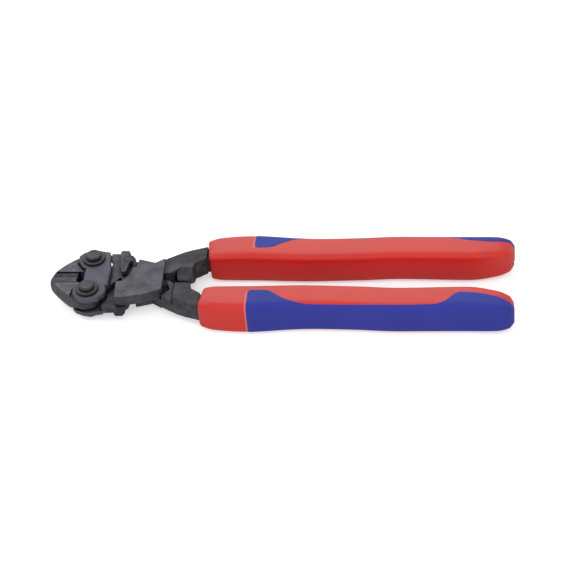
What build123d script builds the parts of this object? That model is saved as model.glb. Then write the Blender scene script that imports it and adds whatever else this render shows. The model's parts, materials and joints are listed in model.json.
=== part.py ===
from build123d import *
import os
import math

os.makedirs("parts", exist_ok=True)

# overall
LENGTH = 200.0
HALF_STACK = 5.2
HALF_HEIGHT = 8.2
LAP_GAP = 0.3
CLEAR = 0.45

# pivots, measured from the nose along X and from the centre line along Y
BOLT_X = 18.2
BOLT_Y = 10.0
TAIL_X = 33.2
TAIL_Y = 10.0
PIVOT_X = 45.2
JAW_OPEN_DEG = 8.0
SWEEP_STEPS = 6

# jaws
EDGE_GAP = 0.3
JAW_HALF_THICK = 3.5
RIM_INSET = 1.5
RIM_DROP = 2.9
WEB_GAP = 0.15
LOBE_R = 4.7
TAIL_HALF_WIDTH = 3.6
BEVEL_WIDTH = 3.4
BEVEL_DROP = 1.1
SLOT_WIDTH = 0.6
SLOT_DROP = 1.5
EDGE_V_WIDTH = 1.0
RELIEF_X = 14.0
RELIEF_Y = 1.6
RELIEF_R = 2.2

# head plates, bolts and washers
PLATE_T = 2.45
PLATE_LOBE_R = 6.4
PLATE_RIGHT_X = 26.6
PLATE_WAIST_X = 15.6
BOLT_R = 2.6
BOLT_HEAD_R = 3.3
WASHER_R = 4.8
WASHER_T = 1.3
HEAD_CHAMFER = 0.5
WASHER_CHAMFER = 0.4
PLATE_CHAMFER = 0.5
BOLT_FIT = 0.05
OPEN_PIVOT_FIT = 0.1

# pins
TAIL_PIN_R = 2.0
PIVOT_PIN_R = 3.2
PIN_FIT = 0.05

# handle forgings
LAP_RIGHT_X = 49.8
LAP_HALF_THICK = 5.1
NECK_HALF_THICK = 4.4
STOP_TIP_HALF = 1.0
STOP_ROOT_Y = 5.6
STOP_X0 = 55.8
STOP_X1 = 61.6
RECESS_X = 55.6
RECESS_Z = 2.8
TANG_Y = 15.4
TANG_W = 7.6
TANG_T = 7.0
TANG_STOP = 32.0
NECK_GAP = 0.5

# grips
GRIP_X0 = 67.2
INLAY_DEPTH = 2.0
GRIP_CORNER = 4.6

WEB = HALF_STACK - PLATE_T - WEB_GAP
TANG_END_X = LENGTH - TANG_STOP
GRIP_L = LENGTH - GRIP_X0


B1 = (BOLT_X, BOLT_Y)
B2 = (BOLT_X, -BOLT_Y)
K = (TAIL_X, TAIL_Y)
T2 = (TAIL_X, -TAIL_Y)
C = (PIVOT_X, 0.0)


def turned(sk, centre, deg):
    return sk.rotate(Axis((centre[0], centre[1], 0), (0, 0, 1)), deg)


def tail_at(deg):
    a = -math.radians(deg)
    dx = TAIL_X - BOLT_X
    dy = -TAIL_Y - BOLT_Y
    x = BOLT_X + dx * math.cos(a) - dy * math.sin(a)
    y = BOLT_Y + dx * math.sin(a) + dy * math.cos(a)
    return x, y


ARM_R = math.hypot(PIVOT_X - TAIL_X, TAIL_Y)
ARM_DEG = math.degrees(math.asin(TAIL_Y / ARM_R))


def handle_deg(deg):
    return math.degrees(math.asin(-tail_at(deg)[1] / ARM_R)) - ARM_DEG


HANDLE_OPEN_DEG = handle_deg(JAW_OPEN_DEG)
STEPS = [i / SWEEP_STEPS for i in range(SWEEP_STEPS + 1)]


def disc(p, r):
    return Pos(p[0], p[1]) * Circle(r)


def poly(pts):
    return make_face(Polyline(*pts, close=True))


def bar(p, q, half):
    dx = q[0] - p[0]
    dy = q[1] - p[1]
    n = math.hypot(dx, dy)
    u = -dy / n * half
    v = dx / n * half
    return poly([(p[0] + u, p[1] + v), (q[0] + u, q[1] + v), (q[0] - u, q[1] - v), (p[0] - u, p[1] - v)])


def slab(sk, z0, z1):
    return extrude(Pos(0, 0, z0) * sk, z1 - z0)


def grown(sk):
    return offset(sk, CLEAR)


def over(solid):
    return solid.rotate(Axis.X, 180)


def flip(sk):
    return mirror(sk, Plane.XZ)


# plan outlines
nose = [
    (0.0, EDGE_GAP / 2), (0.15, 1.9), (0.9, 4.0), (2.3, 6.1), (4.1, 8.3), (6.2, 10.6), (8.6, 12.7),
    (11.2, 14.3), (BOLT_X - 3.4, BOLT_Y + 5.5), (BOLT_X, BOLT_Y + LOBE_R),
    (BOLT_X + 4.0, BOLT_Y + 2.0), (BOLT_X + 2.0, BOLT_Y - 4.6), (BOLT_X + 0.5, EDGE_GAP / 2 + 1.4),
    (BOLT_X - 1.8, EDGE_GAP / 2),
]
jaw_outline = poly(nose) + disc(B1, LOBE_R)
lug = poly([(TAIL_X + x, -TAIL_Y - y) for x, y in (
    (-8.9, 4.8), (-8.0, 6.6), (-3.0, 6.4), (1.0, 5.4), (2.6, 3.2), (3.0, 0), (2.4, -5), (1.2, -10), (-1.4, -10.8),
    (-4.6, -5.5), (-7.4, -2.6), (-8.6, 0))])
lug_top = poly([(TAIL_X + x, -TAIL_Y - y) for x, y in (
    (-3.9, 4.8), (-3.0, 5.6), (-0.2, 5.5), (0.7, 3.6), (0.7, -2), (0.2, -8), (-1.4, -8.6), (-2.6, -5.5))])
arm = poly([
    (TAIL_X - 3.3, -TAIL_Y + 5.2), (TAIL_X - 0.6, -TAIL_Y + 5.8), (TAIL_X + 2.2, -0.4), (TAIL_X + 3.2, 5.8),
    (TAIL_X + 5.2, 9.9), (PIVOT_X + 0.2, 7.7), (LAP_RIGHT_X - 0.3, 10.6), (LAP_RIGHT_X + 0.4, -9.4),
    (LAP_RIGHT_X - 1.2, -10.5), (PIVOT_X - 3.5, -13.3), (TAIL_X, -TAIL_Y - 4.9), (TAIL_X - 2.6, -TAIL_Y - 4.8),
])
plate_outline = poly([
    (BOLT_X - PLATE_LOBE_R - 0.5, BOLT_Y + 2.6), (BOLT_X - PLATE_LOBE_R - 0.5, BOLT_Y - 1.2), (PLATE_WAIST_X, 4.4), (PLATE_WAIST_X - 0.3, 0), (PLATE_WAIST_X, -3.2),
    (BOLT_X - PLATE_LOBE_R, -BOLT_Y), (BOLT_X, -BOLT_Y - PLATE_LOBE_R),
    (PLATE_RIGHT_X - 3.2, -BOLT_Y - 5.2), (PLATE_RIGHT_X - 0.7, -BOLT_Y - 2.0), (PLATE_RIGHT_X, -BOLT_Y + 4.0),
    (PLATE_RIGHT_X - 0.1, 4.0), (PLATE_RIGHT_X - 2.0, BOLT_Y + 5.0), (BOLT_X, BOLT_Y + PLATE_LOBE_R),
    (BOLT_X - PLATE_LOBE_R + 1.4, BOLT_Y + 4.8),
])
plate_outline = plate_outline + disc(B1, PLATE_LOBE_R) + disc(B2, PLATE_LOBE_R)
for s in STEPS:
    a = s * JAW_OPEN_DEG
    p = tail_at(a)
    shift = (p[0] + math.sqrt(ARM_R ** 2 - p[1] ** 2) - PIVOT_X, 0)
    moved_arm = Pos(*shift) * turned(arm, C, handle_deg(a))
    plate_outline = plate_outline - grown(turned(flip(lug_top), B2, a)) - grown(moved_arm)

# upper jaw
tail = bar(B1, T2, TAIL_HALF_WIDTH) + lug
other = flip(jaw_outline)
for s in STEPS:
    a = s * JAW_OPEN_DEG
    tail = tail - grown(turned(turned(other, B2, a), B1, a))
thick = jaw_outline
for s in STEPS:
    thick = thick - grown(turned(plate_outline, B1, s * JAW_OPEN_DEG))
far_low = -LAP_GAP / 2
jaw = slab(jaw_outline, -WEB, WEB) + slab(tail, -WEB, far_low)
jaw = jaw + slab(thick, -JAW_HALF_THICK, JAW_HALF_THICK)
jaw = jaw + slab(lug_top, -HALF_STACK, far_low)
edge = EDGE_GAP / 2
top = JAW_HALF_THICK
low = top - BEVEL_DROP
lip = top - 0.2 * BEVEL_DROP
for side in (1, -1):
    groove = make_face(Plane.YZ * Polyline(
        (edge - 1, 0), (edge, 0), (edge + EDGE_V_WIDTH, side * low), (edge + BEVEL_WIDTH - SLOT_WIDTH, side * lip),
        (edge + BEVEL_WIDTH - SLOT_WIDTH, side * (top - SLOT_DROP)), (edge + BEVEL_WIDTH, side * (top - SLOT_DROP)),
        (edge + BEVEL_WIDTH, side * (top + 3)), (edge - 1, side * (top + 3)), close=True))
    jaw = jaw - extrude(groove, BOLT_X - 3.6)
    for p, q in zip(nose[1:8], nose[2:9]):
        out = Vector(p[1] - q[1], q[0] - p[0], 0).normalized()
        rim = Plane(origin=(p[0], p[1], side * (JAW_HALF_THICK - RIM_DROP)),
                    z_dir=out * RIM_DROP + Vector(0, 0, side * RIM_INSET))
        jaw = jaw - rim * Box(12, 12, 12, align=(Align.CENTER, Align.CENTER, Align.MIN))
jaw = jaw - Pos(RELIEF_X, RELIEF_Y) * Cylinder(RELIEF_R, 40)
upper_jaw = jaw - Pos(*B1) * Cylinder(BOLT_R + OPEN_PIVOT_FIT, 40) - Pos(*T2) * Cylinder(TAIL_PIN_R + PIN_FIT, 40)
lower_jaw = over(jaw) - Pos(*B2) * Cylinder(BOLT_R + BOLT_FIT, 40) - Pos(*K) * Cylinder(TAIL_PIN_R + PIN_FIT, 40)

# head plates with bolts, nuts and washers
plate = slab(plate_outline, HALF_STACK - PLATE_T, HALF_STACK)
plate = chamfer(plate.faces().sort_by(Axis.Z)[-1].edges(), PLATE_CHAMFER)
plate = plate - Pos(*B1) * Cylinder(BOLT_R, 40) - Pos(*B2) * Cylinder(BOLT_R, 40)
front_plate = plate
rear_plate = over(plate)
seat = HALF_STACK + WASHER_T
washer = slab(Circle(WASHER_R), HALF_STACK, seat)
washer = chamfer(washer.faces().sort_by(Axis.Z)[-1].edges(), WASHER_CHAMFER) - Cylinder(BOLT_R, 40)
head = slab(Circle(BOLT_HEAD_R), seat, HALF_HEIGHT)
head = chamfer(head.faces().sort_by(Axis.Z)[-1].edges(), HEAD_CHAMFER)
nut = over(head) - Cylinder(BOLT_R, 40)
bolt = slab(Circle(BOLT_R), -HALF_HEIGHT, seat) + head

# handle forgings
neck = poly([
    (PIVOT_X + 1.0, 1.6), (LAP_RIGHT_X + 2.8, 1.6), (LAP_RIGHT_X + 6.2, 4.6), (LAP_RIGHT_X + 10.2, 6.9),
    (LAP_RIGHT_X + 14.2, 9.2), (GRIP_X0, TANG_Y - TANG_W / 2), (TANG_END_X, TANG_Y - TANG_W / 2),
    (TANG_END_X, TANG_Y + TANG_W / 2), (GRIP_X0, TANG_Y + TANG_W / 2), (LAP_RIGHT_X + 10.8, 17.0),
    (LAP_RIGHT_X + 7.2, 15.4), (LAP_RIGHT_X + 3.2, 12.9), (LAP_RIGHT_X - 0.3, 10.6), (PIVOT_X + 1.0, 8.0),
])
stop = poly([
    (STOP_X0, NECK_GAP), (STOP_X1 - 1.2, NECK_GAP), (STOP_X1, NECK_GAP + 1.4), (STOP_X1 + 0.8, 8.4),
    (STOP_X0 + 1.0, 8.4), (STOP_X0 - 0.6, NECK_GAP + 3.0),
])
twin_tail = flip(tail)
twin_lug = flip(lug_top)
arm_low = arm
arm_top = arm
near = neck
far = neck
for s in STEPS:
    a = s * JAW_OPEN_DEG
    h = handle_deg(a)
    passing = grown(turned(turned(twin_tail, K, h + a), C, -2 * h))
    near = near - passing
    arm_low = arm_low - passing
    arm_top = arm_top - grown(turned(turned(twin_lug, K, h + a), C, -2 * h))
    far = far - grown(turned(flip(arm), C, -2 * h))
half_low = LAP_GAP / 2
handle = slab(near, half_low, NECK_HALF_THICK) + slab(far, -NECK_HALF_THICK, half_low)
recess = Pos(RECESS_X, 0, -RECESS_Z) * Box(30, 80, 10, align=(Align.MAX, Align.CENTER, Align.MAX))
handle = handle - recess
roof = WEB + LAP_GAP
handle = handle + slab(arm_low, half_low, roof) + slab(arm_top, roof, LAP_HALF_THICK)
wedge = make_face(Plane.YZ * Polyline(
    (9.4, NECK_HALF_THICK), (STOP_ROOT_Y, NECK_HALF_THICK), (NECK_GAP, STOP_TIP_HALF), (NECK_GAP, -STOP_TIP_HALF),
    (STOP_ROOT_Y, -NECK_HALF_THICK), (9.4, -NECK_HALF_THICK), close=True))
handle = handle + (extrude(wedge, LENGTH) & slab(stop, -20, 20))
tang_box = Pos(GRIP_X0, TANG_Y) * Box(2 * LENGTH, 60, 60, align=(Align.MIN, Align.CENTER, Align.CENTER))
tang_core = Pos(GRIP_X0, TANG_Y) * Box(2 * LENGTH, 60, TANG_T, align=(Align.MIN, Align.CENTER, Align.CENTER))
handle = handle - (tang_box - tang_core)
handle = handle - Pos(*T2) * Cylinder(TAIL_PIN_R, 40)
upper_handle = handle - Pos(*C) * Cylinder(PIVOT_PIN_R + PIN_FIT, 40)
lower_handle = over(handle - Pos(*C) * Cylinder(PIVOT_PIN_R, 40))
tail_pin = slab(Circle(TAIL_PIN_R), -LAP_HALF_THICK, WEB)
pivot_pin = Cylinder(PIVOT_PIN_R, 2 * LAP_HALF_THICK)

# grips: share of the grip's length, centre Y, width Y, height Z
grip_rows = [
    (0.0, 16.1, 15.2, 14.6), (0.055, 16.5, 17.0, 16.0), (0.14, 16.7, 17.4, 16.2),
    (0.335, 15.4, 16.0, 15.6), (0.50, 15.9, 15.8, 15.4), (0.63, 16.8, 15.8, 15.4),
    (0.855, 16.3, 16.0, 15.6), (0.945, 17.5, 14.4, 14.2), (0.985, 18.2, 11.4, 11.4),
    (1.0, 18.5, 8.6, 8.6),
]
CORE_END = 0.977


def grip_loft(rows, shrink):
    faces = []
    for t, y, w, h in rows:
        x = GRIP_X0 + t * GRIP_L
        r = min(GRIP_CORNER, w / 2 - 0.2, h / 2 - 0.2)
        sec = RectangleRounded(w - 2 * shrink, h - 2 * shrink, r - shrink * 0.9)
        faces.append(Plane((x, y, 0), x_dir=(0, 1, 0), z_dir=(1, 0, 0)) * sec)
    return loft(faces)


grip = grip_loft(grip_rows, 0)
core_rows = grip_rows[:8] + [(CORE_END, 18.0, 12.2, 12.2)]
core = grip_loft(core_rows, INLAY_DEPTH)
low_face_seam = [
    (0.156, 34), (0.156, 14.6), (0.160, 13.5), (0.173, 12.9), (0.215, 13.0), (0.242, 15.0), (0.269, 17.8),
    (0.322, 20.6), (0.357, 21.3), (0.50, 21.6), (0.643, 21.9), (0.75, 21.4), (0.784, 19.4), (0.814, 15.0),
    (0.833, 13.9), (0.889, 14.5), (0.945, 16.1), (0.976, 18.0), (1.03, 19.0), (1.03, 34),
]
high_face_seam = [
    (0.156, 34), (0.156, 16.2), (0.162, 15.0), (0.173, 14.4), (0.208, 14.7), (0.246, 17.4), (0.296, 20.6),
    (0.34, 21.8), (0.50, 22.8), (0.63, 23.5), (0.78, 23.0), (0.82, 21.6), (0.872, 20.0), (0.92, 19.6),
    (0.97, 20.2), (1.03, 20.4), (1.03, 34),
]


def seam_zone(seam, z0, z1):
    return slab(poly([(GRIP_X0 + t * GRIP_L, y) for t, y in seam]), z0, z1)


inlay = (grip - core) & (seam_zone(high_face_seam, 0, 20) + seam_zone(low_face_seam, -20, 0))
tang_hole = Pos(GRIP_X0 - 1, TANG_Y) * Box(
    TANG_END_X - GRIP_X0 + 1, TANG_W, TANG_T, align=(Align.MIN, Align.CENTER, Align.CENTER))
shell = grip - inlay - tang_hole

parts = {
    "lower_handle": lower_handle,
    "upper_handle": upper_handle,
    "handle_pivot_pin": Pos(*C) * pivot_pin,
    "upper_tail_pin": Pos(*K) * tail_pin,
    "lower_tail_pin": Pos(*T2) * over(tail_pin),
    "upper_jaw": upper_jaw,
    "lower_jaw": lower_jaw,
    "front_plate": front_plate,
    "rear_plate": rear_plate,
    "upper_head_bolt": Pos(*B1) * bolt,
    "lower_head_bolt": Pos(*B2) * bolt,
    "upper_head_nut": Pos(*B1) * nut,
    "lower_head_nut": Pos(*B2) * nut,
    "upper_front_washer": Pos(*B1) * washer,
    "lower_front_washer": Pos(*B2) * washer,
    "upper_rear_washer": Pos(*B1) * over(washer),
    "lower_rear_washer": Pos(*B2) * over(washer),
    "upper_grip_shell": shell,
    "lower_grip_shell": over(shell),
    "upper_grip_inlay": inlay,
    "lower_grip_inlay": over(inlay),
}
for name, shape in parts.items():
    export_step(Pos(-LENGTH / 2, 0, HALF_HEIGHT) * shape, f"parts/{name}.step")
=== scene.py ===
import bpy
import json
import math
import numpy as np
from mathutils import Matrix, Vector


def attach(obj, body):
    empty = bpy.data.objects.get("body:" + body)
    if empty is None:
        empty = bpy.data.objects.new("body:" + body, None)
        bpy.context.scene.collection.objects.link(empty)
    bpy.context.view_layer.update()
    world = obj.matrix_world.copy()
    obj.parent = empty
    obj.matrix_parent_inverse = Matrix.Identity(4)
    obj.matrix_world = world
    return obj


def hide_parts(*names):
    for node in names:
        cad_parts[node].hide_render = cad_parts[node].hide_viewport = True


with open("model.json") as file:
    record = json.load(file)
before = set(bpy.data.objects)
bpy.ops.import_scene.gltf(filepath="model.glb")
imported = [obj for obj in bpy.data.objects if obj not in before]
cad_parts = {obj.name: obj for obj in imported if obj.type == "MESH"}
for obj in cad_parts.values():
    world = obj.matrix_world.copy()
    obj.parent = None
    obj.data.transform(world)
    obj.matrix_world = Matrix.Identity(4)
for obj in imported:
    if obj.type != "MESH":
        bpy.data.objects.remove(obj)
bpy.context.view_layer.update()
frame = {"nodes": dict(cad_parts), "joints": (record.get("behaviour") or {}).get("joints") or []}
nodes = frame["nodes"]

# Crossed jaws: two drop forgings of tool steel, ground to cutting bevels along the middle line.
# Each turns on its head bolt, and its half-thickness tail crosses the other jaw to a handle.
# The surface is phosphated, so it is a satin dark grey with a mottled forged skin.
jaw_dark, jaw_light = (0.050, 0.047, 0.059), (0.132, 0.128, 0.155)
jaw_corner = 0.00035
jaw_side_tone = 0.62
nose_back = -0.0856
bevel_width, bevel_loss = 0.0026, 0.40
slot_from_middle, slot_half_width, slot_shade_loss = 0.0031, 0.0005, 0.72
tail_front, tail_back, tail_shade_tone = -0.0750, -0.0715, 0.52


def feed(tree, socket, value):
    """Sets an input to a value, or links it to the output of another node."""
    if isinstance(value, bpy.types.NodeSocket):
        tree.links.new(value, socket)
    else:
        socket.default_value = value


def fill_in(tree, made, **values):
    """Feeds each value to the node's input of that name, with spaces for underscores,
    or sets the property of that name where there is no such input."""
    for key, value in values.items():
        name = key.replace("_", " ")
        if name in made.inputs:
            feed(tree, made.inputs[name], value)
        else:
            setattr(made, key, value)


def node_of(tree, kind, **values):
    """Adds one shader node and fills it in."""
    made = tree.nodes.new(kind)
    fill_in(tree, made, **values)
    return made


def worked_out(tree, operation, *terms):
    """Result of one operation on terms, which are numbers or outputs of other nodes."""
    made = node_of(tree, "ShaderNodeMath", operation=operation)
    for socket, term in zip(made.inputs, terms):
        feed(tree, socket, term)
    return made.outputs["Value"]


def graded(tree, value, start, end, low, high, ease="LINEAR"):
    """Goes from low to high as value goes from start to end, and stays level beyond them."""
    made = node_of(tree, "ShaderNodeMapRange", interpolation_type=ease, Value=value,
                   From_Min=start, From_Max=end, To_Min=low, To_Max=high)
    return made.outputs["Result"]


def toned(tree, share, dark_at, dark, light_at, light):
    """Colour that goes from dark to light as share goes from dark_at to light_at."""
    ramp = node_of(tree, "ShaderNodeValToRGB", Fac=share)
    for stop, at, colour in zip(ramp.color_ramp.elements, (dark_at, light_at), (dark, light)):
        stop.position = at
        stop.color = (*colour, 1)
    return ramp.outputs["Color"]


def shaded_by(tree, factor):
    """Multiplies the base colour of the material by factor."""
    shader = tree.nodes["Principled BSDF"]
    tone = shader.inputs["Base Color"].links[0].from_socket
    darker = node_of(tree, "ShaderNodeVectorMath", operation="SCALE", Vector=tone, Scale=factor)
    fill_in(tree, shader, Base_Color=darker.outputs["Vector"])


def forged_steel(name, dark, light, grain, roughness, skin):
    """Satin steel. Its tone is a cloudy noise plus a share of a finer speckle, ramped from dark
    to light; the same sum is the bump of the skin, and the speckle varies the roughness.
    Nooks closer than 2 mm to another face are darkened by ambient occlusion as painted shade."""
    speck_fineness, speck_share = 9, 0.35
    dark_at, light_at = 0.48, 0.86
    nook_shade_reach, nook_shade_closed, nook_shade_open, nook_shade_tone = 0.0020, 0.48, 0.93, 0.04
    mat = bpy.data.materials.new(name)
    mat.use_nodes = True
    tree = mat.node_tree
    where = node_of(tree, "ShaderNodeTexCoord").outputs["Object"]
    cloud = node_of(tree, "ShaderNodeTexNoise", Vector=where, Scale=grain, Detail=4.0, Roughness=0.6)
    speck = node_of(tree, "ShaderNodeTexNoise", Vector=where, Scale=grain * speck_fineness,
                    Detail=3.0, Roughness=0.7)
    mottle = worked_out(tree, "MULTIPLY_ADD", speck.outputs["Fac"], speck_share, cloud.outputs["Fac"])
    gloss = graded(tree, speck.outputs["Fac"], 0, 1, roughness - 0.08, roughness + 0.12)
    bump = node_of(tree, "ShaderNodeBump", Strength=skin, Distance=0.00025, Height=mottle)
    fill_in(tree, tree.nodes["Principled BSDF"], Metallic=0.35, Specular_IOR_Level=0.3, Roughness=gloss,
            Base_Color=toned(tree, mottle, dark_at, dark, light_at, light), Normal=bump.outputs["Normal"])
    # Painted shade: ambient occlusion darkens the colour in nooks.
    nook_shade = node_of(tree, "ShaderNodeAmbientOcclusion", Distance=nook_shade_reach, samples=8)
    shaded_by(tree, graded(tree, nook_shade.outputs["AO"], nook_shade_closed, nook_shade_open, nook_shade_tone, 1))
    return mat


def flat_mask(tree, normal):
    """1 on faces that look straight up or down, falling to 0 on the sides of the piece."""
    side_below, flat_above = 0.80, 0.97
    facing = node_of(tree, "ShaderNodeSeparateXYZ", Vector=normal).outputs["Z"]
    return graded(tree, worked_out(tree, "ABSOLUTE", facing), side_below, flat_above, 0, 1, "SMOOTHSTEP")


def dress(name, mat, corner):
    """Gives a machined or forged node its finish and rounds its sharp corners by corner metres."""
    piece = nodes[name]
    piece.data.materials.clear()
    piece.data.materials.append(mat)
    weld = piece.modifiers.new("joined", "WELD")
    weld.merge_threshold = 0.00001
    soft = piece.modifiers.new("soft_edges", "BEVEL")
    soft.width = corner
    soft.segments = 3
    soft.limit_method = "ANGLE"
    soft.angle_limit = math.radians(28)
    soft.harden_normals = True


jaw_steel = forged_steel("jaw_steel", jaw_dark, jaw_light, grain=260, roughness=0.48, skin=0.35)
tree = jaw_steel.node_tree
where = node_of(tree, "ShaderNodeTexCoord").outputs
spot = node_of(tree, "ShaderNodeSeparateXYZ", Vector=where["Object"]).outputs
shaded_by(tree, graded(tree, flat_mask(tree, where["Normal"]), 0, 1, jaw_side_tone, 1))
# Painted shade in the nose: a dark line along each slot, 3.1 mm from the middle line; the bevels within 2.6
# mm of the middle line are darkened too.
from_middle = worked_out(tree, "ABSOLUTE", spot["Y"])
slot = worked_out(tree, "COMPARE", from_middle, slot_from_middle, slot_half_width)
bevel = worked_out(tree, "LESS_THAN", from_middle, bevel_width)
slot_shade = worked_out(tree, "MULTIPLY", slot, slot_shade_loss)
lost = worked_out(tree, "MULTIPLY_ADD", bevel, bevel_loss, slot_shade)
nose = worked_out(tree, "LESS_THAN", spot["X"], nose_back)
shaded_by(tree, graded(tree, nose, 0, 1, 1, worked_out(tree, "SUBTRACT", 1, lost)))
# Painted shade: towards its tail the jaw is darkened to about half, in the hollow beside the crossing arms.
shaded_by(tree, graded(tree, spot["X"], tail_front, tail_back, 1, tail_shade_tone, "SMOOTHSTEP"))
for side in ("upper", "lower"):
    dress(f"{side}_jaw", jaw_steel, jaw_corner)

# Head plates: two blanked steel links, one on each side of the jaws, that carry both head bolts.
# Their faces are tumbled smooth and their outer rims are chamfered.
plate_dark, plate_light = (0.061, 0.058, 0.077), (0.089, 0.085, 0.111)
plate_corner = 0.00025
plate_steel = forged_steel("plate_steel", plate_dark, plate_light, grain=180, roughness=0.46, skin=0.10)
for place in ("front", "rear"):
    dress(f"{place}_plate", plate_steel, plate_corner)

# Head bolts with a washer under each head and a flush nut on the far end of the shank.
# They are turned parts, so their faces are finer than the forgings.
turned_dark, turned_light = (0.033, 0.032, 0.038), (0.062, 0.061, 0.070)
turned_corner = 0.0002
turned_steel = forged_steel("turned_steel", turned_dark, turned_light, grain=300, roughness=0.42, skin=0.08)
for side in ("upper", "lower"):
    for kind in ("head_bolt", "head_nut", "front_washer", "rear_washer"):
        dress(f"{side}_{kind}", turned_steel, turned_corner)

# Handle forgings: each has a half-thickness arm that crosses the other at the pivot pin,
# a full-thickness neck, and a tang that runs on inside the moulded grip. The arms' flats are ground;
# the rest keeps its dark skin, streaked along the neck. Painted shade darkens the neck towards the grip,
# a band where the arm steps down to the neck, and a line at the foot of one stop.
handle_dark, handle_light = (0.034, 0.033, 0.040), (0.082, 0.080, 0.093)
handle_corner = 0.0004
handle_side_tone = 0.76
ground_back, skin_front, ground_tone = -0.0501, -0.0496, 1.3
step_middle, step_half_width, step_shadow_loss = -0.0491, 0.0009, 0.26
neck_front, neck_front_tone = -0.046, 0.70
neck_back, neck_back_shade_tone = -0.034, 0.52
streak_turn, streak_stretch, streak_grain = math.radians(-25), 0.28, 430.0
streak_low, streak_high, streak_depth = 0.35, 0.65, 0.28
stop_shadow_middle, stop_shadow_half_width, stop_shadow_tone = -0.0449, 0.0006, 0.10
pivots = {joint["name"]: joint["pos_m"] for joint in frame["joints"]}
mid_height = pivots["handle_pivot"][2]
handle_steel = forged_steel("handle_steel", handle_dark, handle_light, grain=210, roughness=0.50, skin=0.45)
tree = handle_steel.node_tree
fill_in(tree, tree.nodes["Principled BSDF"], Metallic=0.15, Specular_IOR_Level=0.25)
where = node_of(tree, "ShaderNodeTexCoord").outputs
spot = node_of(tree, "ShaderNodeSeparateXYZ", Vector=where["Object"]).outputs
ground = graded(tree, spot["X"], skin_front, ground_back, 0, 1, "SMOOTHSTEP")
# Painted shade: the neck's dark skin is darkened further towards the grip.
neck = graded(tree, spot["X"], neck_front, neck_back, neck_front_tone, neck_back_shade_tone)
flats = graded(tree, ground, 0, 1, neck, ground_tone)
# Painted shadow: a dark band on the flats where the arm steps down to the neck.
step = worked_out(tree, "COMPARE", spot["X"], step_middle, step_half_width)
stepped = worked_out(tree, "MULTIPLY_ADD", step, -step_shadow_loss, flats)
shaded_by(tree, graded(tree, flat_mask(tree, where["Normal"]), 0, 1, handle_side_tone, stepped))
drawn = node_of(tree, "ShaderNodeMapping", Vector=where["Object"],
                Rotation=(0, 0, streak_turn), Scale=(streak_stretch, 1, 1))
streak = node_of(tree, "ShaderNodeTexNoise", Vector=drawn.outputs["Vector"], Scale=streak_grain, Detail=4.0)
streaks = graded(tree, streak.outputs["Fac"], streak_low, streak_high, 1 - streak_depth, 1 + streak_depth)
shaded_by(tree, graded(tree, ground, 0, 1, streaks, 1))
# Painted shadow: a dark line at the foot of the stop, on one side only.
height = worked_out(tree, "SUBTRACT", spot["Z"], mid_height)
stop_side = worked_out(tree, "LESS_THAN", worked_out(tree, "MULTIPLY", height, spot["Y"]), 0)
foot = worked_out(tree, "COMPARE", spot["X"], stop_shadow_middle, stop_shadow_half_width)
shaded_by(tree, graded(tree, worked_out(tree, "MULTIPLY", foot, stop_side), 0, 1, 1, stop_shadow_tone))
for side in ("upper", "lower"):
    dress(f"{side}_handle", handle_steel, handle_corner)

# Pins: one pivot pin through both arms, and two tail pins between the handles and the jaw tails.
# They are turned from bar, pressed into one forging and ground flush, so only a faint ring shows.
# Each tail pin runs on through the whole bore of the jaw tail.
pivot_pin_corner = 0.0001
tail_pin_radius = 0.00198
tail_pin_bottom, tail_pin_top = 0.0031, 0.01335
tail_pin_sides = 64
rounding_radius = tail_pin_radius * np.array([0, 0.94, 0.985, 1])
rounding_depth = np.array([0, 0, 0.00005, 0.0002])


def skin_mesh(name, grid, ring, over):
    """Mesh of a grid of points, with one face between each four neighbours. ring closes its rows round;
    over turns it half a turn about the tool's length, which changes the sign of y and of z - mid_height."""
    rows, cols = grid.shape[:2]
    points = grid.reshape(-1, 3).copy()
    if over:
        points[:, 1:] = (0, 2 * mid_height) - points[:, 1:]
    row, col = np.meshgrid(np.arange(rows - 1), np.arange(cols if ring else cols - 1), indexing="ij")
    here, ahead = row * cols + col, row * cols + (col + 1) % cols
    quads = np.stack([here, ahead, ahead + cols, here + cols], axis=-1).reshape(-1, 4)
    mesh = bpy.data.meshes.new(name)
    mesh.from_pydata(points.tolist(), [], quads.tolist())
    mesh.polygons.foreach_set("use_smooth", np.ones(len(mesh.polygons), bool))
    piece = bpy.data.objects.new(name, mesh)
    bpy.context.scene.collection.objects.link(piece)
    return piece


def turned_pin(name, x, y):
    """Round pin that stands at x, y: its profile of radius against height, turned about its axis."""
    radius = np.r_[rounding_radius, rounding_radius[::-1]][:, None]
    rise = np.r_[tail_pin_bottom + rounding_depth, tail_pin_top - rounding_depth[::-1]][:, None]
    turn = np.linspace(0, 2 * np.pi, tail_pin_sides, endpoint=False)
    rings = np.broadcast_arrays(x + radius * np.cos(turn), y + radius * np.sin(turn), rise)
    return skin_mesh(name, np.stack(rings, axis=-1), True, False)


dress("handle_pivot_pin", handle_steel, pivot_pin_corner)
for side, joint, handle, steel in (
        ("upper", "lower_jaw_tail", "lower_handle", jaw_steel),
        ("lower", "upper_jaw_tail", "upper_handle", handle_steel)):
    pin = turned_pin(f"{side}_flush_pin", *pivots[joint][:2])
    pin.data.materials.append(steel)
    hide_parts(f"{side}_tail_pin")
    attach(pin, handle)

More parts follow.
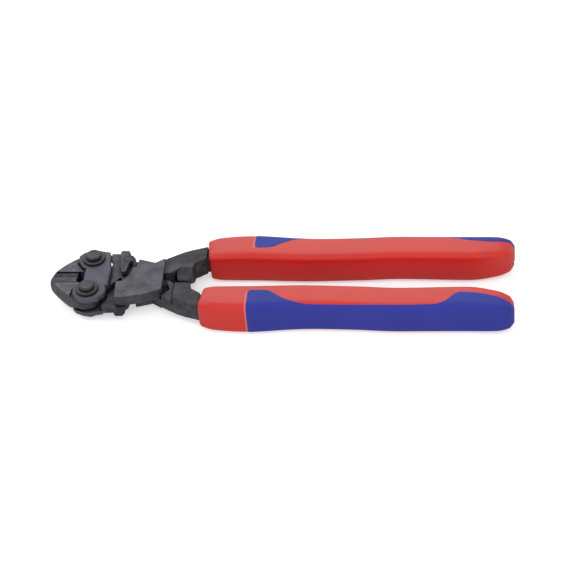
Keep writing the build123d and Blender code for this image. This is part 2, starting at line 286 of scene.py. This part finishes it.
# Grip shells: hard red plastic moulded over the tangs, waisted for the hand and rounded off at the end.
# The lower grip is the upper one turned over about the tool's length.
# A thin pale line of painted highlight runs round the outer side of each shell where the second colour of
# plastic begins.
grip_front, grip_back = -0.0328, 0.1
front_slant, slant_end = 0.14, 0.12
squareness = 5.4
shell_sides = 160
skin_drop = -0.00012
shell_front_round, shell_front_taper, shell_front_cap = 0.009, 0.10, 0.6
shell_end, shell_end_round, end_taper = 0.9985, 0.0145, 0.25
highlight_line_at, highlight_line_width, highlight_line_reach, highlight_line_fade = 0.1546, 0.0017, 0.22, 9
highlight_line_colour = (0.60, 0.18, 0.18)
red_base, red_worn, red_tint = (0.50, 0.007, 0.007), (0.57, 0.009, 0.009), (1.0, 0.97, 0.82)

# share of the grip's length, then the centre's distance from the middle line, the width and the height in mm
grip_stations = np.array([
    (0.000, 15.5, 12.60, 13.70), (0.045, 16.2, 14.80, 15.30), (0.140, 16.7, 15.79, 15.79),
    (0.335, 15.4, 14.72, 15.41), (0.500, 15.9, 14.53, 15.21), (0.630, 16.8, 14.53, 15.21),
    (0.855, 16.3, 14.72, 15.41), (0.945, 17.5, 13.36, 13.94), (0.985, 18.2, 10.72, 11.12),
    (1.000, 18.5, 8.19, 8.38),
])
station, centre_y, half_width, half_height = (grip_stations * (1, 0.001, 0.0005, 0.0005)).T


def smooth_curve(x, xs, ys):
    """Cubic Hermite curve through the points (xs, ys). The slope at a point is the harmonic mean of those
    of the runs beside it, or 0 where they differ in sign, so that the curve never overshoots."""
    run = np.diff(xs)
    rise = np.diff(ys) / run
    before, after = rise[:-1], rise[1:]
    tiny = 1e-12
    mean = np.where(before * after > 0, 2 * before * after / (before + after + tiny), 0.0)
    slope = np.r_[rise[0], mean, rise[-1]]
    k = np.clip(np.searchsorted(xs, x, side="right") - 1, 0, len(run) - 1)
    t = (x - xs[k]) / run[k]
    return (ys[k] * (1 + 2 * t) * (1 - t) ** 2 + slope[k] * run[k] * t * (1 - t) ** 2
            + ys[k + 1] * t * t * (3 - 2 * t) + slope[k + 1] * run[k] * t * t * (t - 1))


def grip_skin(share, turn, swell, lift):
    """Point on the grip: at a share of its length the section is a superellipse
    |y/a|^n + |z/b|^n = 1, with half width a, half height b and centre line y0 from the stations;
    turn runs round it from the outer side, swell scales it and lift moves it outwards.
    The front is cut at a slant, so the inner side starts later than the outer one."""
    y0, a, b = (smooth_curve(share, station, size) for size in (centre_y, half_width, half_height))
    c, s = np.cos(turn), np.sin(turn)
    n = squareness
    reach = (np.abs(c) ** n + np.abs(s) ** n) ** (-1 / n)
    y = y0 + (a * swell + lift) * c * reach
    z = mid_height + (b * swell + lift) * s * reach
    slant = front_slant * (y0 + a - y) * np.clip(1 - share / slant_end, 0, 1) ** 2
    x = grip_front + share * (grip_back - grip_front) + slant
    return np.stack(np.broadcast_arrays(x, y, z), axis=-1)


def moulded(name, base, worn, tint, grain, roughness, sheen):
    """Moulded plastic: slow tone drift between base and worn, a fine matt grain in roughness and bump."""
    drift_grain = 38.0
    base_at, worn_at = 0.3, 0.75
    mat = bpy.data.materials.new(name)
    mat.use_nodes = True
    tree = mat.node_tree
    where = node_of(tree, "ShaderNodeTexCoord").outputs["Object"]
    drift = node_of(tree, "ShaderNodeTexNoise", Vector=where, Scale=drift_grain, Detail=2.0).outputs["Fac"]
    fine = node_of(tree, "ShaderNodeTexNoise", Vector=where, Scale=grain, Detail=2.0).outputs["Fac"]
    gloss = graded(tree, fine, 0, 1, roughness - 0.06, roughness + 0.06)
    bump = node_of(tree, "ShaderNodeBump", Strength=0.12, Distance=0.0001, Height=fine)
    fill_in(tree, tree.nodes["Principled BSDF"], Specular_IOR_Level=sheen, Specular_Tint=(*tint, 1),
            Base_Color=toned(tree, drift, base_at, base, worn_at, worn), Roughness=gloss,
            Normal=bump.outputs["Normal"])
    return mat


red_plastic = moulded("red_plastic", red_base, red_worn, red_tint, grain=2600, roughness=0.43, sheen=0.66)
tree = red_plastic.node_tree
shader = tree.nodes["Principled BSDF"]
# Painted highlight: the base colour turns pale along the line held in the mesh attribute.
line = node_of(tree, "ShaderNodeAttribute", attribute_name="painted_highlight")
pale = node_of(tree, "ShaderNodeMix", data_type="RGBA", Factor=line.outputs["Fac"])
plain_colour, line_colour = (socket for socket in pale.inputs if socket.type == "RGBA")
mixed_colour = next(socket for socket in pale.outputs if socket.type == "RGBA")
feed(tree, plain_colour, shader.inputs["Base Color"].links[0].from_socket)
feed(tree, line_colour, (*highlight_line_colour, 1))
fill_in(tree, shader, Base_Color=mixed_colour)
around = np.linspace(0, 2 * np.pi, shell_sides, endpoint=False)
lip = np.linspace(0, np.pi / 2, 7)
before_highlight_line = np.linspace(0.012, 0.148, 22)
near_highlight_line = np.linspace(0.1495, 0.1605, 12)
behind_highlight_line = np.linspace(0.166, 0.984, 116)
straight = np.r_[before_highlight_line, near_highlight_line, behind_highlight_line]
along = np.r_[0.0, 0.0, shell_front_round * (1 - np.cos(lip)), straight,
              shell_end - shell_end_round * np.cos(lip[1:]) ** 2, shell_end][:, None]
swell = np.r_[0.0, shell_front_cap, 1 - shell_front_taper * (1 - np.sin(lip)), np.ones(len(straight)),
              1 - end_taper * (1 - np.cos(lip[1:])), 0.0][:, None]
outer_part = 0.5 + 0.5 * np.tanh((np.cos(around) + highlight_line_reach) * highlight_line_fade)
painted_highlight = np.exp(-((along - highlight_line_at) / highlight_line_width) ** 2) * outer_part
shell_grid = grip_skin(along, around, swell, skin_drop * (swell > 0.5))
for side, turned_over in (("upper", False), ("lower", True)):
    shell = skin_mesh(f"{side}_red_shell", shell_grid, True, turned_over)
    shell.data.attributes.new("painted_highlight", "FLOAT", "POINT").data.foreach_set("value", painted_highlight.ravel())
    shell.data.materials.append(red_plastic)
    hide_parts(f"{side}_grip_shell")
    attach(shell, f"{side}_handle")

# Grip inlays: soft blue plastic moulded into the back of each grip as a second shot.
# The seam leaves the front edge, dips along the palm in an S and comes back up before the end;
# it reaches further over one face of the grip than over the other.
blue_base, blue_worn, blue_tint = (0.033, 0.029, 0.250), (0.038, 0.035, 0.286), (0.15, 0.75, 1.0)
inlay_front, inlay_end_round, inlay_end_cap = 0.1565, 0.015, (0.5, 0.3)
inlay_strips = 141
inlay_thickness = 0.0008
inlay_edge_round = 0.0004
mean_radius = 0.008

# share of the grip's length, then the seam's distance from the middle line in mm
seam_low_face = np.array([
    (inlay_front, 20.0),
    (0.158, 15.2), (0.162, 13.5), (0.173, 12.9), (0.215, 13.0), (0.242, 15.0), (0.269, 17.8),
    (0.322, 20.6), (0.357, 21.3), (0.500, 21.6), (0.643, 21.9), (0.750, 21.4), (0.784, 19.4), (0.814, 15.0),
    (0.833, 13.9), (0.889, 14.5), (0.945, 16.1), (0.976, 17.8), (0.990, 18.6), (1.000, 18.9),
])
seam_high_face = np.array([
    (inlay_front, 20.0),
    (0.158, 16.4), (0.162, 15.0), (0.173, 14.4), (0.208, 14.7), (0.246, 17.4), (0.296, 20.6),
    (0.340, 21.8), (0.500, 22.1), (0.630, 23.0), (0.775, 22.6), (0.815, 21.0), (0.860, 19.4), (0.915, 19.0),
    (0.952, 19.4), (0.985, 20.2), (1.000, 20.2),
])
inlay_straight = np.r_[np.linspace(inlay_front, 0.176, 24), np.linspace(0.178, 0.985, 196)]
inlay_along = np.r_[inlay_straight, 1 - inlay_end_round * np.cos(lip[1:]) ** 2, 1.0, 1.0][:, None]
inlay_swell = np.r_[np.ones(len(inlay_straight)), 1 - end_taper * (1 - np.cos(lip[1:])),
                    inlay_end_cap][:, None]


def seam_turn(seam):
    """Angle round the section where its outline reaches the seam's distance from the middle line:
    the distance as a share of the half width, kept inside the section, gives y/a and so z/b."""
    seam_y = smooth_curve(inlay_along, seam[:, 0], seam[:, 1] * 0.001)
    y0, a = (smooth_curve(inlay_along, station, size) for size in (centre_y, half_width))
    level = np.clip((seam_y - y0) / a, -0.98, 0.999)
    n = squareness
    return np.arctan2((1 - np.abs(level) ** n) ** (1 / n), level)


blue_plastic = moulded("blue_plastic", blue_base, blue_worn, blue_tint,
                       grain=2000, roughness=0.50, sheen=0.34)
low_turn, high_turn = seam_turn(seam_low_face), seam_turn(seam_high_face)
spread = low_turn + high_turn
across = np.linspace(0, 1, inlay_strips)
from_seam = np.minimum(across, 1 - across) * spread * mean_radius
from_front = (inlay_along - inlay_along[0]) * (grip_back - grip_front)
rounding = np.minimum(1, np.minimum(from_seam, from_front) / inlay_edge_round)
edge_lift = inlay_edge_round * (np.sin(np.pi / 2 * rounding) - 1)
inlay_grid = grip_skin(inlay_along, spread * across - low_turn, inlay_swell, edge_lift)
for side, turned_over in (("upper", False), ("lower", True)):
    inlay = skin_mesh(f"{side}_blue_inlay", inlay_grid, False, turned_over)
    inlay.data.materials.append(blue_plastic)
    body = inlay.modifiers.new("thickness", "SOLIDIFY")
    body.thickness = inlay_thickness
    body.offset = -1
    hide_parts(f"{side}_grip_inlay")
    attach(inlay, f"{side}_handle")

# Studio: a pale paper table under the tool, which glows a little to the camera and keeps the shadow.
# The white room shows at full strength to the camera and in the gloss, and lights the tool at half.
# One broad softbox stands behind and above it, a key lamp at the left and a wide fill in front.
table_reach = 3.0
paper_colour, paper_glow = (0.86, 0.86, 0.86, 1), 0.45
white = (1, 1, 1, 1)
room_light, room_shown = 0.50, 1.0
table_corners = [(x * table_reach, y * table_reach, 0) for x, y in ((-1, -1), (1, -1), (1, 1), (-1, 1))]
table_mesh = bpy.data.meshes.new("table")
table_mesh.from_pydata(table_corners, [], [(0, 1, 2, 3)])
table = bpy.data.objects.new("table", table_mesh)
bpy.context.scene.collection.objects.link(table)
paper = bpy.data.materials.new("pale_paper")
paper.use_nodes = True
tree = paper.node_tree
ray = node_of(tree, "ShaderNodeLightPath").outputs
glow = worked_out(tree, "MULTIPLY", ray["Is Camera Ray"], paper_glow)
fill_in(tree, tree.nodes["Principled BSDF"], Base_Color=paper_colour, Roughness=0.9,
        Specular_IOR_Level=0.1, Emission_Color=white, Emission_Strength=glow)
table_mesh.materials.append(paper)
world = bpy.data.worlds.new("studio")
bpy.context.scene.world = world
world.use_nodes = True
tree = world.node_tree
ray = node_of(tree, "ShaderNodeLightPath").outputs
seen = worked_out(tree, "MAXIMUM", ray["Is Camera Ray"], ray["Is Glossy Ray"])
strength = graded(tree, seen, 0, 1, room_light, room_shown)
fill_in(tree, tree.nodes["Background"], Color=white, Strength=strength)


def softbox(name, place, aim, size, watts, mirrored):
    """A square area lamp at place that faces aim; mirrored says whether gloss shows it."""
    lamp = bpy.data.lights.new(name, "AREA")
    lamp.size = size
    lamp.energy = watts
    box = bpy.data.objects.new(name, lamp)
    box.location = place
    box.rotation_euler = (Vector(aim) - Vector(place)).to_track_quat("-Z", "Y").to_euler()
    box.visible_glossy = mirrored
    bpy.context.scene.collection.objects.link(box)


softbox("softbox_behind", (-0.13, 0.80, 0.69), (0, 0, 0), size=0.8, watts=2.7, mirrored=True)
softbox("key_at_left", (-0.80, 0.05, 0.80), (-0.02, 0, 0), size=0.3, watts=1.6, mirrored=True)
softbox("fill_in_front", (0.12, -0.98, 0.95), (0, 0, 0), size=1.8, watts=14.5, mirrored=False)

# Camera: a long lens in front of the tool and above it, at the photograph's viewing angle.
# It is rolled a little and shifted, so that the tool lies in the picture as it does there.
azimuth, elevation, roll = np.radians([8.654, 40.364, -5.586])
distance, shift_right, shift_up = 0.870857, 0.002203, -0.000750
lens_mm, sensor_mm = 128.345, 36.0
level_right = Vector((math.cos(azimuth), math.sin(azimuth), 0))
level_back = Vector((math.sin(azimuth), -math.cos(azimuth), 0))
back = level_back * math.cos(elevation) + Vector((0, 0, math.sin(elevation)))
level_up = back.cross(level_right)
right = level_right * math.cos(roll) + level_up * math.sin(roll)
up = level_up * math.cos(roll) - level_right * math.sin(roll)
place = Vector((0, 0, mid_height)) + right * shift_right + up * shift_up + back * distance
camera = bpy.data.objects.new("camera", bpy.data.cameras.new("camera"))
camera.data.lens = lens_mm
camera.data.sensor_width = sensor_mm
camera.matrix_world = Matrix.Translation(place) @ Matrix((right, up, back)).transposed().to_4x4()
bpy.context.scene.collection.objects.link(camera)
bpy.context.scene.camera = camera
bpy.context.scene.view_settings.view_transform = "Standard"
